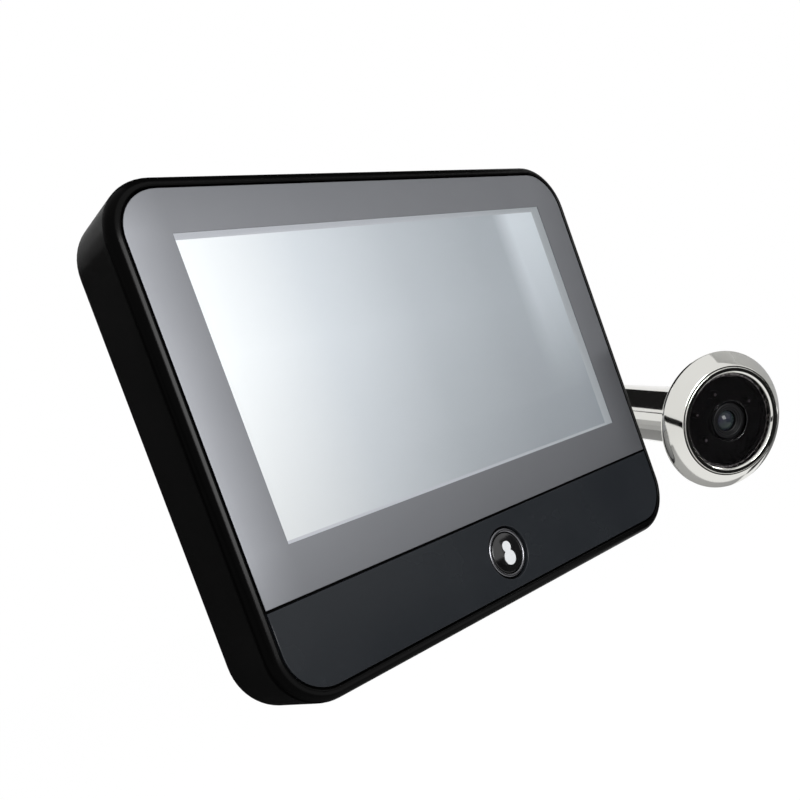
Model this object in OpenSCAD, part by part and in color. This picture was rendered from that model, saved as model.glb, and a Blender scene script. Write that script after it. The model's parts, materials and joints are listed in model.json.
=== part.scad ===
// Digital door viewer: an indoor monitor on its door bracket, with its outdoor camera unit beside it.
// The origin is on the door, at the middle of the bracket's hole. +X is right, +Y goes into the door, +Z is up.

/* [Screen] */
// Width of the clear window in the glass
window_w = 97; // [90:1:110]
// Height of the clear window in the glass
window_h = 55; // [50:1:62]
// Dark border of the glass beside the window
side_margin = 8.5; // [8:0.5:12]
// Dark border of the glass above the window
top_margin = 8; // [8:0.5:12]
// From the window down to the seam under the glass
seam_drop = 9.2; // [8.5:0.1:14]
// Height of the fascia strip under the seam
fascia_h = 16.1; // [15:0.1:24]
// Thickness of the glass and of the fascia
glass_t = 1.1; // [0.8:0.1:2]
// Width of the seam between the glass and the fascia
seam_gap = 0.3; // [0.2:0.1:0.6]
// Screen module beyond the window, each side
lcd_side = 4.25; // [3:0.25:5]
// Screen module beyond the window, above and below
lcd_edge = 6.1; // [5:0.1:6.3]
// Thickness of the screen module
lcd_t = 2.9; // [2.6:0.1:3.6]
// Metal of the screen tray's lip
tray_lip = 0.3; // [0.2:0.1:0.6]
// Metal of the screen tray's back and walls
tray_t = 0.4; // [0.3:0.1:0.6]
// Thickness of the screen's glass cell
cell_t = 1.3; // [1:0.1:1.6]

/* [Housing] */
// Rim of the housing round the glass
rim = 2.5; // [2.2:0.1:4]
// Corner radius of the glass
panel_corner = 8.5; // [7.5:0.5:14]
// Side walls of the housing
wall = 2; // [1.8:0.1:2.4]
// Ledge under the glass
front_wall = 1.7; // [1.4:0.1:2.5]
// Depth of the monitor from the rim to the rear cover
body_depth = 16.4; // [16:0.1:22]
// How far the glass lies below the rim
panel_sink = 0.2; // [0:0.1:0.5]
// Round of the front edge
front_round = 2.5; // [1:0.1:3.5]
// Round of the back edge
back_round = 1.2; // [0.5:0.1:1.6]
// Thickness of the rear cover
cover_t = 1.8; // [1.6:0.1:2.4]
// Radius of the screw bosses in the housing's corners
boss_r = 2.8; // [2.4:0.1:3.2]
// Back plate of the mid frame
mid_t = 1.5; // [1.2:0.1:2]

/* [Button] */
// Diameter of the button
button_d = 8.4; // [8:0.1:11]
// Width of the bright ring round the button
ring_w = 0.8; // [0.5:0.05:1]
// Groove between the ring and the fascia
ring_groove = 0.4; // [0.2:0.05:0.6]
// Centre of the button below the seam
button_drop = 8.4; // [7.5:0.1:9]
// Travel of the button
button_travel = 0.6; // [0.3:0.1:0.7]
// Size of the switch under the button
tact_size = 6; // [5:0.5:7]
// Height of the switch under the button
tact_h = 3.5; // [3:0.1:4]

/* [Electronics] */
// Width of the main board
board_w = 66; // [60:1:66]
// Height of the main board
board_h = 52; // [44:1:54]
// Thickness of the boards
board_t = 1.6; // [1:0.1:1.6]
// Space under the main board
board_lift = 2.1; // [1.5:0.1:2.2]
// Air beside the battery
battery_side = 2.5; // [2:0.5:8]
// Height of the battery beyond the window's
battery_over = 3; // [-10:1:3]
// Thickness of the battery
battery_t = 5.8; // [4:0.1:5.9]
// Diameter of the speaker
speaker_d = 20; // [16:1:20]
// Thickness of the speaker's rim
speaker_t = 4.3; // [3:0.1:4.5]
// Diameter of the microphone
mic_d = 6; // [4:0.5:6]
// Width of the charging inlet
inlet_w = 9; // [8:0.5:10]
// Height of the charging inlet
inlet_h = 3.2; // [2.8:0.1:3.4]
// Travel of the power knob
knob_travel = 2; // [1:0.5:3]

/* [Bracket] */
// Width of the door bracket
bracket_w = 72; // [66:1:90]
// Height of the door bracket
bracket_h = 52; // [50:1:70]
// Thickness of the door bracket
bracket_t = 2; // [1.5:0.1:3]
// Air between the bracket and the monitor
hang_gap = 0.3; // [0.2:0.1:0.8]
// Thickness of the adhesive pads
pad_t = 0.8; // [0.5:0.1:1]
// Width of each hook
hook_w = 8; // [6:0.5:10]
// Thickness of a hook's arm and lip
hook_t = 1.5; // [1.2:0.1:1.8]
// Rise of a hook's lip above its arm
hook_rise = 4; // [3:0.5:5]
// Hooks from the middle, sideways
hook_x = 27; // [24:1:30]
// Hooks from the middle, up and down
hook_z = 17; // [14:1:18]
// Radius of the well in the rear cover for the sleeve's head
well_r = 13; // [10:0.5:14]
// Depth of that well from the back of the cover
well_depth = 4.2; // [3:0.1:4.3]

/* [Camera head] */
// Diameter of the flange
flange_d = 35; // [32:0.5:45]
// Height of the flange's cone above the widest part
cone_rise = 3.5; // [3:0.1:4]
// Width of the rim at the flange's widest part
rim_w = 0.8; // [0.4:0.1:1.5]
// Flange behind its widest part
flange_back = 3.5; // [3:0.1:6]
// Back wall of the flange
flange_wall = 2; // [1.5:0.1:2.5]
// Diameter of the visible window
eye_d = 24; // [22:0.5:25]
// Thickness of the window
eye_t = 0.9; // [0.7:0.1:1.2]
// Width of the trim ring
trim_w = 1.5; // [1:0.1:1.9]
// Diameter of the hole in the window for the lens
lens_hole_d = 10.2; // [9.6:0.1:11]
// Diameter of the lens barrel
lens_d = 9; // [8:0.1:9.2]
// Diameter of the front lens
lens_glass_d = 5.2; // [4:0.1:6.5]
// Thickness of the foam ring behind the flange
gasket_t = 1; // [0.5:0.1:1.5]

/* [Barrel] */
// Diameter of the barrel
barrel_d = 16; // [15:0.1:17]
// Wall of the barrel
barrel_wall = 1.5; // [1:0.1:1.6]
// Length of the barrel behind the flange's inner floor
barrel_len = 60; // [50:1:90]
// Wall of the clamp sleeve
sleeve_wall = 1.45; // [1:0.05:1.6]
// Length of the clamp sleeve in front of its head
sleeve_len = 42; // [36:1:60]
// Sleeve that stands out of the barrel, up to its head
sleeve_out = 12; // [8:1:20]
// Thickness of the sleeve's head
head_t = 2.5; // [2:0.1:3.2]
// Thickness of the thrust washer
washer_t = 1; // [0.6:0.1:1.4]

/* [Camera place] */
// Air between the monitor's side and the flange
camera_clear = 2.7; // [2:0.1:20]
// Flange in front of the glass
camera_forward = 11; // [6:0.5:20]
// Flange below the middle of the screen
camera_drop = 36.7; // [20:0.1:50]
// Camera turned to the left of the monitor's facing direction
camera_turn = 27.7; // [20:0.1:35]
// Camera tipped down
camera_nod = 12.6; // [5:0.1:20]

/* [Hidden] */
$fn = 64;
// clearances
panel_gap = 0.2;
lcd_gap = 0.2;
lcd_air = 0.1;
cover_gap = 0.15;
seat_gap = 0.1;
screw_gap = 0.05;
run_gap = 0.05;
slide_gap = 0.3;
over = 1;
// monitor outline
panel_w = window_w + 2 * side_margin;
panel_h = top_margin + window_h + seam_drop + fascia_h;
body_w = panel_w + 2 * rim;
body_h = panel_h + 2 * rim;
body_corner = panel_corner + rim;
inner_w = body_w - 2 * wall;
inner_h = body_h - 2 * wall;
inner_corner = body_corner - wall;
screen_z = panel_h / 2 - top_margin - window_h / 2;
seam_z = screen_z - window_h / 2 - seam_drop;
button_z = seam_z - button_drop;
// depths, measured from the rim's crest into the monitor
rear_y = -bracket_t - hang_gap;
front_y = rear_y - body_depth;
ledge = panel_sink + glass_t;
inside = ledge + front_wall;
lcd_front = ledge + lcd_air;
lcd_back = lcd_front + lcd_t;
mid_back = lcd_back + lcd_air + mid_t;
board_front = mid_back + board_lift;
board_back = board_front + board_t;
cover_in = body_depth - cover_t;
// screen module and mid frame
lcd_w = window_w + 2 * lcd_side;
lcd_h = window_h + 2 * lcd_edge;
mid_side = 3.2;
mid_edge = 1.7;
bezel_margin = 2.2;
// screws: case and board sizes, radius and length of shank, radius and height of head
case_shank_r = 1.15;
case_shank_l = 6.5;
case_tip = 0.5;
case_head_r = boss_r - 1;
case_head_t = 1;
case_head_gap = 0.1;
case_head_sink = 0.2;
case_slot_w = 0.7;
case_slot_l = case_head_r * 1.2;
board_shank_r = 0.9;
board_head_r = 1.7;
board_head_t = 1;
board_bite = 1.5;
switch_bite = 3;
switch_hole = 4;
boss_sink = 0.4;
boss_off = (inner_corner - boss_r + boss_sink) / sqrt(2);
boss_x = inner_w / 2 - inner_corner + boss_off;
boss_z = inner_h / 2 - inner_corner + boss_off;
boss_lift = 0.4;
boss_start = mid_back + boss_lift;
// button and its switch
button_r = button_d / 2;
cap_front = panel_sink + 0.1;
ring_front = panel_sink + 0.3;
ring_in = button_r + 0.2;
ring_out = ring_in + ring_w;
ring_foot_t = 0.7;
ring_foot_r = ring_out + 1.25;
ring_back = inside + ring_foot_t;
cap_foot_r = button_r + 0.8;
cap_foot = ring_back + 0.2;
cap_back = cap_foot + 0.7;
tact_front = cap_back + button_travel + 0.2;
tact_back = tact_front + tact_h;
plunger_r = 1.7;
plunger_in = 1;
plunger_room = plunger_in + button_travel + 0.4;
switch_board_w = 28;
switch_board_h = 11;
switch_board_t = 1;
post_x = 10.5;
post_r = 2.3;
icon_t = 0.3;
icon_head_r = button_r * 0.285;
icon_body_r = button_r * 0.38;
icon_head_rise = button_r * 0.3;
icon_body_drop = button_r * 0.25;
// board, battery and what sits on the board
well_wall = 1.5;
cable_w = 18;
cable_h = 5;
board_edge = 1.5;
board_x = inner_w / 2 - board_edge - board_w / 2;
board_low = 0.6;
board_z = screen_z - board_low;
board_hole_in = 4;
battery_w = inner_w / 2 - well_r - well_wall - 2 * battery_side;
battery_h = window_h + battery_over;
battery_x = -inner_w / 2 + battery_side + battery_w / 2;
battery_low = 1.6;
battery_z = screen_z - battery_low;
battery_pad_t = 0.3;
battery_pad_in = 4;
processor_size = 13;
processor_t = 1.2;
processor_at = [2, -15];
memory_size = [11, 8];
memory_t = 1;
memory_at = [-15, -16];
can_size = [20, 15];
can_t = 1.6;
can_at = [6, 15];
socket_w = cable_w;
socket_h = 5;
socket_t = 1.4;
socket_end = 2;
socket_slot = 0.8;
inlet_depth = 7.6;
inlet_drop = 14;
inlet_z = board_z - inlet_drop;
inlet_wall = 0.3;
inlet_recess = 0.9;
inlet_back = 1;
tongue_w = 6;
tongue_t = 0.7;
tongue_root = 0.5;
knob_rise = 12;
knob_z = board_z + knob_rise;
knob_w = 3;
knob_h = 1.6;
knob_proud = 0.8;
power_w = 9;
power_h = 3.4;
power_depth = 4;
knob_s = board_back + power_h / 2;
// speaker and microphone
speaker_r = speaker_d / 2;
speaker_in = 12.2;
speaker_up = 1.65;
speaker_x = -boss_x + speaker_in;
speaker_z = -inner_h / 2 + speaker_r + speaker_up;
speaker_gasket_t = 0.3;
speaker_back = cover_in - speaker_gasket_t;
speaker_front = speaker_back - speaker_t;
magnet_t = 1.5;
speaker_rim = 1.5;
speaker_play = 0.2;
speaker_fence = 1;
fence_h = 2;
grille_r = 0.8;
grille_step = 4.2;
mic_in = 35.5;
mic_x = body_w / 2 - mic_in;
mic_s = (inside + cover_in) / 2;
mic_h = 2.6;
boot_wall = 0.8;
boot_base = 0.6;
sound_r = 0.6;
// bracket and hooks
bracket_corner = 6;
lift = hook_rise + 0.6;
slot_h = hook_t + lift + seat_gap + 0.4;
slot_side = 0.5;
hook_reach = hang_gap + cover_t + slide_gap + hook_t;
pad_w = 18;
pad_h = 40;
pad_x = 20;
well_floor = 1;
// camera head, measured along the lens axis from the flange's widest part
flange_r = flange_d / 2;
barrel_r = barrel_d / 2;
bore_r = barrel_r - barrel_wall;
floor_z = flange_wall - flange_back;
eye_r = eye_d / 2;
trim_r = eye_r + trim_w;
eye_front = cone_rise - 0.3;
eye_back = eye_front - eye_t;
eye_rim_r = eye_r + 0.5;
trim_top = cone_rise + 0.3;
trim_edge = 0.2;
cone_top_r = trim_r + 0.4;
back_taper = flange_back - rim_w;
cavity_r = eye_r - 0.6;
collar_r = barrel_r + 1.2;
holder_flange_t = 1;
ir_board_t = 0.8;
ir_z = floor_z + holder_flange_t;
ir_top = ir_z + ir_board_t;
holder_r = bore_r - 0.2;
lens_r = lens_d / 2;
lens_glass_r = lens_glass_d / 2;
lens_front = eye_front - 0.6;
holder_len = 8.5;
holder_back = floor_z - holder_len;
lens_tail = 2;
lens_seat = 1.6;
lens_lip = 0.4;
sensor_board_t = 1;
imager_size = [5, 4, 0.8];
lamp_r = 1.1;
lamp_ring_r = 7.8;
lamp_angles = [22, 105, 202];
sight_r = 0.8;
sight_ring_r = 9;
sight_angle = 153;
// sleeve
sleeve_r = bore_r - run_gap;
sleeve_bore_r = sleeve_r - sleeve_wall;
barrel_end = floor_z - barrel_len;
head_z = barrel_end - sleeve_out;
head_r = barrel_r - 0.2;
coin_slot_w = 1.5;
coin_slot_t = 1;
bracket_hole_r = sleeve_r + 0.25;
// place of the camera unit
camera_x = body_w / 2 + camera_clear + flange_r * cos(camera_turn);
camera_y = front_y + panel_sink - camera_forward;
camera_z = screen_z - camera_drop;

// Colours
shell_black = [0.05, 0.05, 0.055];
smoke = [0.36, 0.37, 0.39];
fascia_grey = [0.15, 0.16, 0.17];
silver = [0.72, 0.73, 0.75];
chrome = [0.85, 0.85, 0.84];
screen_pale = [0.82, 0.85, 0.88];
board_green = [0.05, 0.25, 0.14];
chip_black = [0.08, 0.08, 0.09];
steel = [0.6, 0.61, 0.63];
foam = [0.18, 0.18, 0.19];

// Shared shapes

// Plate in the XZ plane between two places along Y
module slab(y0, y1) {
    translate([0, y1, 0])
        rotate([90, 0, 0])
            linear_extrude(y1 - y0)
                children();
}

// Plate in the monitor between two depths below the rim's crest
module layer(s0, s1) {
    slab(front_y + s0, front_y + s1) children();
}

// Rectangle about a point
module rect(w, h, x = 0, z = 0) {
    translate([x, z])
        square([w, h], center = true);
}

module round_rect(w, h, r) {
    rect(w - 2 * r, h);
    rect(w, h - 2 * r);
    for (x = [-1, 1], z = [-1, 1])
        translate([x * (w / 2 - r), z * (h / 2 - r)])
            circle(r);
}

// Section of the housing's edge: flat inside, rounded at the front and the back
module edge_section(r) {
    square([r - front_round, body_depth]);
    translate([0, front_round])
        square([r, body_depth - front_round - back_round]);
    translate([0, front_round])
        square([r - back_round, body_depth - front_round]);
    translate([r - front_round, front_round])
        circle(front_round);
    translate([r - back_round, body_depth - back_round])
        circle(back_round);
}

// Section right across the housing
module bar_section(w) {
    for (side = [0, 1])
        mirror([side, 0])
            edge_section(w / 2);
}

// Outside of the housing, with rounded corners and edges
module housing_block() {
    translate([0, front_y, 0]) {
        linear_extrude(body_h - 2 * body_corner, center = true)
            bar_section(body_w);
        rotate([0, -90, 0])
            linear_extrude(body_w - 2 * body_corner, center = true)
                bar_section(body_h);
        for (k = [0:3])
            rotate([0, -90 * k, 0])
                corner_block(k % 2 == 0 ? body_w : body_h, k % 2 == 0 ? body_h : body_w);
    }
}

// One corner of the housing
module corner_block(w, h) {
    translate([w / 2 - body_corner, 0, h / 2 - body_corner])
        rotate([-90, 0, 0])
            rotate_extrude(angle = -90)
                edge_section(body_corner);
}

// Panel outline, shared by the glass and the fascia
module panel_outline(grow = 0) {
    round_rect(panel_w + 2 * grow, panel_h + 2 * grow, panel_corner + grow);
}

module at_bosses() {
    for (x = [-1, 1], z = [-1, 1])
        translate([x * boss_x, z * boss_z])
            children();
}

module at_board_holes() {
    for (x = [-1, 1], z = [-1, 1])
        translate([board_x + x * (board_w / 2 - board_hole_in), board_z + z * (board_h / 2 - board_hole_in)])
            children();
}

module at_switch_posts() {
    for (x = [-1, 1])
        translate([x * post_x, button_z])
            children();
}

module at_hooks() {
    for (x = [-1, 1], z = [-1, 1])
        translate([x * hook_x, 0, z * hook_z])
            children();
}

module at_speaker() {
    translate([speaker_x, speaker_z])
        children();
}

// Upright round bar in the bottom wall at the microphone
module at_mic(z) {
    translate([mic_x, front_y + mic_s, -inner_h / 2 + z])
        children();
}

// Camera's own axes: the lens looks along +Z, from the flange's widest part
module on_camera() {
    translate([camera_x, camera_y, camera_z])
        rotate([90 + camera_nod, 0, -camera_turn])
            children();
}

// Round bar or tube along the lens axis
module turned(r, z0, z1, bore = 0) {
    translate([0, 0, z0])
        difference() {
            cylinder(h = z1 - z0, r = r);
            if (bore > 0)
                translate([0, 0, -over])
                    cylinder(h = z1 - z0 + 2 * over, r = bore);
        }
}

// Door bracket

module bracket() {
    color(steel) {
        difference() {
            slab(-bracket_t, 0) round_rect(bracket_w, bracket_h, bracket_corner);
            slab(-bracket_t - over, over) circle(bracket_hole_r);
            slab(-pad_t, over) pad_faces();
        }
        at_hooks() hook();
    }
}

// Arm through the rear cover, with a lip that rises behind it
module hook() {
    translate([-hook_w / 2, -bracket_t - hook_reach, -hook_t])
        cube([hook_w, hook_reach + bracket_t / 2, hook_t]);
    translate([-hook_w / 2, -bracket_t - hook_reach, -hook_t])
        cube([hook_w, hook_t, hook_t + hook_rise]);
}

module pad_faces() {
    for (x = [-1, 1])
        rect(pad_w, pad_h, x * pad_x);
}

module bracket_pads() {
    color(foam)
        slab(-pad_t, 0) pad_faces();
}

// Monitor

module front_shell() {
    color(shell_black)
        difference() {
            union() {
                difference() {
                    housing_block();
                    layer(inside, body_depth + over) round_rect(inner_w, inner_h, inner_corner);
                }
                layer(boss_start, cover_in) at_bosses() circle(boss_r);
                layer(inside - front_wall / 2, tact_back) at_switch_posts() circle(post_r);
            }
            layer(-over, ledge) panel_outline(panel_gap);
            layer(0, inside + over) rect(lcd_w + 2 * lcd_gap, lcd_h + 2 * lcd_gap, 0, screen_z);
            layer(0, inside + over) translate([0, button_z]) circle(ring_out + run_gap);
            layer(cover_in - case_shank_l, cover_in + over) at_bosses() circle(case_shank_r + screw_gap);
            layer(tact_back - switch_hole, tact_back + over)
                at_switch_posts() circle(board_shank_r + screw_gap);
            inlet_cut();
            knob_cut();
            at_mic(-wall - over) cylinder(h = wall + 2 * over, r = sound_r);
        }
}

// Opening in the right wall for the charging inlet
module inlet_cut() {
    translate([body_w / 2 - wall - over, front_y + board_back - panel_gap, inlet_z - inlet_w / 2 - panel_gap])
        cube([wall + 2 * over, inlet_h + 2 * panel_gap, inlet_w + 2 * panel_gap]);
}

// Slot in the right wall for the power knob
module knob_cut() {
    slot = knob_w + knob_travel + 2 * slide_gap;
    translate([body_w / 2 - wall - over, front_y + knob_s - knob_h / 2 - slide_gap, knob_z - slot / 2])
        cube([wall + 2 * over, knob_h + 2 * slide_gap, slot]);
}

module screen_window() {
    color(smoke)
        layer(panel_sink, ledge)
            difference() {
                panel_outline();
                rect(panel_w + 2 * over, panel_h, 0, seam_z + seam_gap / 2 - panel_h / 2);
            }
}

module lower_fascia() {
    color(fascia_grey)
        layer(panel_sink, ledge)
            difference() {
                panel_outline();
                rect(panel_w + 2 * over, panel_h, 0, seam_z - seam_gap / 2 + panel_h / 2);
                translate([0, button_z]) circle(ring_out + ring_groove);
            }
}

module lcd_tray() {
    color(steel)
        difference() {
            layer(lcd_front, lcd_back) rect(lcd_w, lcd_h, 0, screen_z);
            layer(lcd_front + tray_lip, lcd_back - tray_t)
                rect(lcd_w - 2 * tray_t, lcd_h - 2 * tray_t, 0, screen_z);
            layer(lcd_front - over, lcd_front + tray_lip + tray_t)
                rect(window_w + 2 * bezel_margin, window_h + 2 * bezel_margin, 0, screen_z);
        }
}

module lcd_panel() {
    color(screen_pale)
        layer(lcd_front + tray_lip, lcd_front + tray_lip + cell_t)
            rect(lcd_w - 2 * tray_t - lcd_gap, lcd_h - 2 * tray_t - lcd_gap, 0, screen_z);
}

module backlight() {
    color("white")
        layer(lcd_front + tray_lip + cell_t, lcd_back - tray_t)
            rect(lcd_w - 2 * tray_t - lcd_gap, lcd_h - 2 * tray_t - lcd_gap, 0, screen_z);
}

// Chassis plate: a tray round the screen's back, with posts for the board behind it
module mid_frame() {
    color(chip_black)
        difference() {
            union() {
                layer(inside, mid_back) mid_outline();
                layer(mid_back - mid_t / 2, board_front) at_board_holes() circle(post_r);
            }
            layer(inside - over, lcd_back + lcd_air)
                rect(lcd_w + 2 * lcd_gap, lcd_h + 2 * lcd_gap, 0, screen_z);
            layer(mid_back - mid_t / 2, board_front + over)
                at_board_holes() circle(board_shank_r + screw_gap);
        }
}

// Outline of the chassis plate, kept inside the housing's rounded corners
module mid_outline() {
    intersection() {
        rect(lcd_w + 2 * mid_side, lcd_h + 2 * mid_edge, 0, screen_z);
        round_rect(inner_w - 2 * lcd_gap, inner_h - 2 * lcd_gap, inner_corner - lcd_gap);
    }
}

module main_board() {
    color(board_green)
        layer(board_front, board_back)
            difference() {
                rect(board_w, board_h, board_x, board_z);
                at_board_holes() circle(board_shank_r + screw_gap);
            }
}

module processor_chip() {
    color(chip_black)
        layer(board_back, board_back + processor_t)
            rect(processor_size, processor_size, board_x + processor_at[0], board_z + processor_at[1]);
}

module memory_chip() {
    color(chip_black)
        layer(board_back, board_back + memory_t)
            rect(memory_size[0], memory_size[1], board_x + memory_at[0], board_z + memory_at[1]);
}

module shield_can() {
    color(silver)
        layer(board_back, board_back + can_t)
            rect(can_size[0], can_size[1], board_x + can_at[0], board_z + can_at[1]);
}

// Socket for the camera's flat lead, under the port in the rear cover's well
module ribbon_socket() {
    color([0.85, 0.83, 0.76])
        difference() {
            layer(board_back, board_back + socket_t) rect(socket_w, socket_h);
            layer(board_back + socket_t / 2, board_back + socket_t + over)
                rect(socket_w - 2 * socket_end, socket_slot);
        }
}

module charge_socket() {
    x1 = body_w / 2 - inlet_recess;
    x0 = x1 - inlet_depth;
    color(silver)
        translate([0, front_y + board_back, inlet_z - inlet_w / 2]) {
            difference() {
                translate([x0, 0, 0])
                    cube([inlet_depth, inlet_h, inlet_w]);
                translate([x0 + inlet_back, inlet_wall, inlet_wall])
                    cube([inlet_depth, inlet_h - 2 * inlet_wall, inlet_w - 2 * inlet_wall]);
            }
            translate([x0 + tongue_root, inlet_h / 2 - tongue_t / 2, inlet_w / 2 - tongue_w / 2])
                cube([inlet_depth - inlet_back - tongue_root, tongue_t, tongue_w]);
        }
}

module power_base() {
    color(chip_black)
        translate([board_x + board_w / 2 - power_depth, front_y + board_back, knob_z - power_w / 2])
            cube([power_depth, power_h, power_w]);
}

// Knob at the bottom of its slot; it slides up
module power_knob() {
    x0 = board_x + board_w / 2 + run_gap;
    color(fascia_grey)
        translate([x0, front_y + knob_s - knob_h / 2, knob_z - knob_travel / 2 - knob_w / 2])
            cube([body_w / 2 + knob_proud - x0, knob_h, knob_w]);
}

module battery_pad() {
    color(foam)
        layer(mid_back, mid_back + battery_pad_t)
            rect(battery_w - 2 * battery_pad_in, battery_h - 2 * battery_pad_in, battery_x, battery_z);
}

module battery() {
    color(silver)
        layer(mid_back + battery_pad_t, mid_back + battery_pad_t + battery_t)
            rect(battery_w, battery_h, battery_x, battery_z);
}

module speaker() {
    color(chip_black) {
        layer(speaker_front, speaker_back) at_speaker() circle(speaker_r);
        layer(speaker_front - magnet_t, speaker_front + over) at_speaker() circle(speaker_r * 0.6);
    }
}

module speaker_gasket() {
    color(foam)
        layer(speaker_back, cover_in)
            difference() {
                at_speaker() circle(speaker_r);
                at_speaker() circle(speaker_r - speaker_rim);
            }
}

module microphone() {
    color(silver)
        at_mic(boot_base) cylinder(h = mic_h, r = mic_d / 2);
}

module mic_boot() {
    color(foam)
        difference() {
            at_mic(0) cylinder(h = mic_h, r = mic_d / 2 + boot_wall);
            at_mic(boot_base) cylinder(h = mic_h + over, r = mic_d / 2);
            at_mic(-over) cylinder(h = mic_h + over, r = sound_r);
        }
}

module switch_board() {
    color(board_green)
        layer(tact_back, tact_back + switch_board_t)
            difference() {
                rect(switch_board_w, switch_board_h, 0, button_z);
                at_switch_posts() circle(board_shank_r + screw_gap);
            }
}

module tact_switch() {
    color(steel)
        difference() {
            layer(tact_front, tact_back) rect(tact_size, tact_size, 0, button_z);
            layer(tact_front - over, tact_front + plunger_room)
                translate([0, button_z]) circle(plunger_r + run_gap);
        }
}

module button_ring() {
    color(silver)
        difference() {
            union() {
                layer(ring_front, ring_back) translate([0, button_z]) circle(ring_out);
                layer(inside, ring_back) translate([0, button_z]) circle(ring_foot_r);
            }
            layer(-over, ring_back + over) translate([0, button_z]) circle(ring_in);
        }
}

// Cover of the back, with the well for the sleeve's head, the hooks' slots and the speaker's grille
module rear_cover() {
    color(shell_black)
        difference() {
            union() {
                layer(cover_in, body_depth)
                    round_rect(inner_w - 2 * cover_gap, inner_h - 2 * cover_gap, inner_corner - cover_gap);
                layer(body_depth - well_depth - well_floor, body_depth) circle(well_r + well_wall);
                layer(speaker_back - fence_h, cover_in + cover_t / 2)
                    difference() {
                        at_speaker() circle(speaker_r + speaker_play + speaker_fence);
                        at_speaker() circle(speaker_r + speaker_play);
                    }
            }
            layer(body_depth - well_depth, body_depth + over) circle(well_r);
            layer(0, body_depth + over) rect(cable_w, cable_h);
            for (x = [-1, 1], z = [-1, 1])
                layer(cover_in - over, body_depth + over)
                    rect(hook_w + 2 * slot_side, slot_h, x * hook_x, z * hook_z + seat_gap - slot_h / 2);
            layer(cover_in - over, body_depth + over) at_bosses() circle(case_shank_r + 2 * screw_gap);
            layer(body_depth - case_head_t - case_head_sink, body_depth + over)
                at_bosses() circle(case_head_r + case_head_gap);
            for (x = [-1:1], z = [-1:1])
                layer(cover_in - over, body_depth + over)
                    at_speaker() translate([x * grille_step, z * grille_step]) circle(grille_r);
        }
}

module case_screws() {
    seat = body_depth - case_head_t - case_head_sink;
    color(steel) {
        layer(cover_in - case_shank_l + case_tip, seat + case_head_t / 2) at_bosses() circle(case_shank_r);
        layer(seat, seat + case_head_t)
            difference() {
                at_bosses() circle(case_head_r);
                at_bosses() rect(case_slot_w, case_slot_l);
                at_bosses() rect(case_slot_l, case_slot_w);
            }
    }
}

// Screws of the main board and of the switch board
module board_screws() {
    color(steel) {
        layer(board_front - board_bite, board_back + board_head_t / 2) at_board_holes() circle(board_shank_r);
        layer(board_back, board_back + board_head_t) at_board_holes() circle(board_head_r);
        switch_back = tact_back + switch_board_t;
        layer(tact_back - switch_bite, switch_back + board_head_t / 2)
            at_switch_posts() circle(board_shank_r);
        layer(switch_back, switch_back + board_head_t) at_switch_posts() circle(board_head_r);
    }
}

// Button

module button_cap() {
    color(chip_black)
        difference() {
            union() {
                layer(cap_front, cap_back) translate([0, button_z]) circle(button_r);
                layer(cap_foot, cap_back) translate([0, button_z]) circle(cap_foot_r);
            }
            layer(cap_front - over, cap_front + icon_t) icon();
        }
}

// Head and body of a caller, as two discs that run into each other
module icon() {
    translate([0, button_z + icon_head_rise])
        circle(icon_head_r);
    translate([0, button_z - icon_body_drop])
        circle(icon_body_r);
}

module button_icon() {
    color("white")
        layer(cap_front, cap_front + icon_t) icon();
}

module switch_plunger() {
    color(chip_black)
        layer(cap_back, tact_front + plunger_in) translate([0, button_z]) circle(plunger_r);
}

// Camera unit

// Outline of the flange's section: a cone in front, a narrow rim, and a taper behind
module flange_section() {
    polygon([[0, -flange_back], [flange_r - back_taper, -flange_back], [flange_r, -rim_w],
        [flange_r, 0], [cone_top_r, cone_rise], [0, cone_rise]]);
}

module camera_flange() {
    color(chrome)
        on_camera()
            difference() {
                rotate_extrude()
                    flange_section();
                turned(barrel_r + run_gap, -flange_back - over, floor_z + over);
                turned(cavity_r, floor_z, cone_rise + over);
                turned(eye_rim_r + screw_gap, eye_back, cone_rise + over);
                turned(trim_r + screw_gap, eye_front - 0.3, cone_rise + over);
            }
}

// Tube with a collar behind the flange
module camera_barrel() {
    color(chrome)
        on_camera() {
            turned(barrel_r, barrel_end, floor_z, bore_r);
            turned(collar_r, -flange_back - gasket_t, -flange_back, bore_r);
        }
}

module flange_gasket() {
    color(foam)
        on_camera() turned(flange_r - back_taper, -flange_back - gasket_t, -flange_back, collar_r + 0.2);
}

module window_trim() {
    color(chrome)
        on_camera()
            difference() {
                rotate_extrude()
                    polygon([[eye_r, eye_front], [eye_rim_r, eye_front], [eye_rim_r, eye_front - 0.3],
                        [trim_r, eye_front - 0.3], [trim_r, cone_rise], [trim_r - trim_edge, trim_top],
                        [eye_r + 0.3, trim_top]]);
            }
}

module camera_window() {
    color([0.02, 0.02, 0.02])
        on_camera() turned(eye_rim_r, eye_back, eye_front, lens_hole_d / 2);
}

// Tube that carries the lens, hung on the barrel's front end
module lens_holder() {
    color(chip_black)
        on_camera() {
            turned(holder_r, holder_back, ir_z, lens_r + run_gap);
            turned(barrel_r - 0.2, floor_z, ir_z, lens_r + run_gap);
        }
}

module lens_barrel() {
    color(chip_black)
        on_camera()
            difference() {
                turned(lens_r, holder_back + lens_tail, lens_front, lens_glass_r - lens_lip);
                turned(lens_glass_r + run_gap, lens_front - lens_seat, lens_front + over);
            }
}

// Front lens, domed
module lens_glass() {
    dome_r = lens_glass_r * 1.3;
    color([0.1, 0.12, 0.2])
        on_camera()
            intersection() {
                turned(lens_glass_r, lens_front - lens_seat, lens_front + over);
                translate([0, 0, lens_front - 0.2 - dome_r])
                    sphere(dome_r);
            }
}

module ir_board() {
    color(board_green)
        on_camera() turned(cavity_r - 0.3, ir_z, ir_top, lens_r + 0.3);
}

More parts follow.
